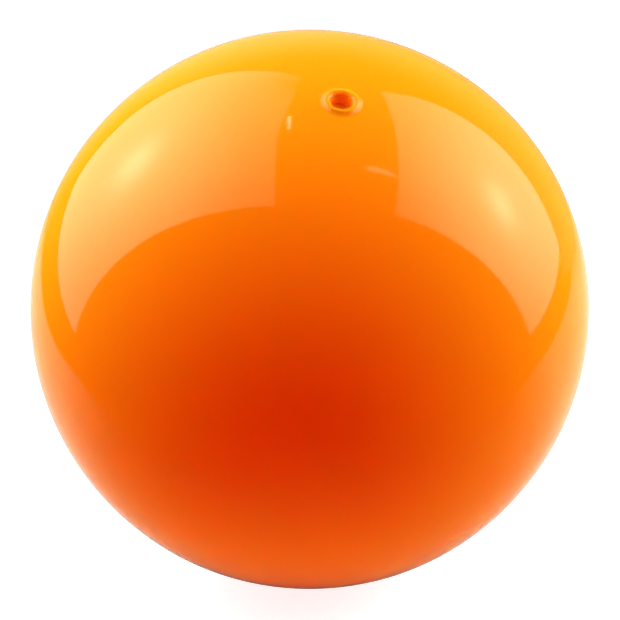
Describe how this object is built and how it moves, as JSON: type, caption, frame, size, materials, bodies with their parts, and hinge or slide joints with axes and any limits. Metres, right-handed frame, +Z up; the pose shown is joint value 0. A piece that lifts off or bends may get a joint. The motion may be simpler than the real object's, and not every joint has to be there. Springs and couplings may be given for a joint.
{
  "type": "inflatable volleyball",
  "caption": "Soft round ball with a thin glossy hollow skin, a raised valve mouth near the top, a bonded valve socket and a push-in self-sealing needle core.",
  "frame": {"origin": "centre of the small flat patch on which the ball lies, at the floor", "axes": "+Z up through the ball's centre, -Y towards the front, where the valve leans 30 degrees from upright, +X to the right seen from the front"},
  "size_m": [0.2434, 0.2434, 0.2432],
  "materials": {
    "skin": "glossy, slightly translucent soft PVC",
    "socket": "glossy soft PVC",
    "core": "satin soft rubber"
  },
  "bodies": {
    "ball": {"ball_skin": "skin", "valve_socket": "socket"},
    "core": {"valve_core": "core"}
  },
  "joints": [
    {"name": "core_pull", "type": "slide", "parent": "ball", "child": "core", "axis": [0, -0.5, 0.866], "range_m": [0, 0.02]}
  ]
}
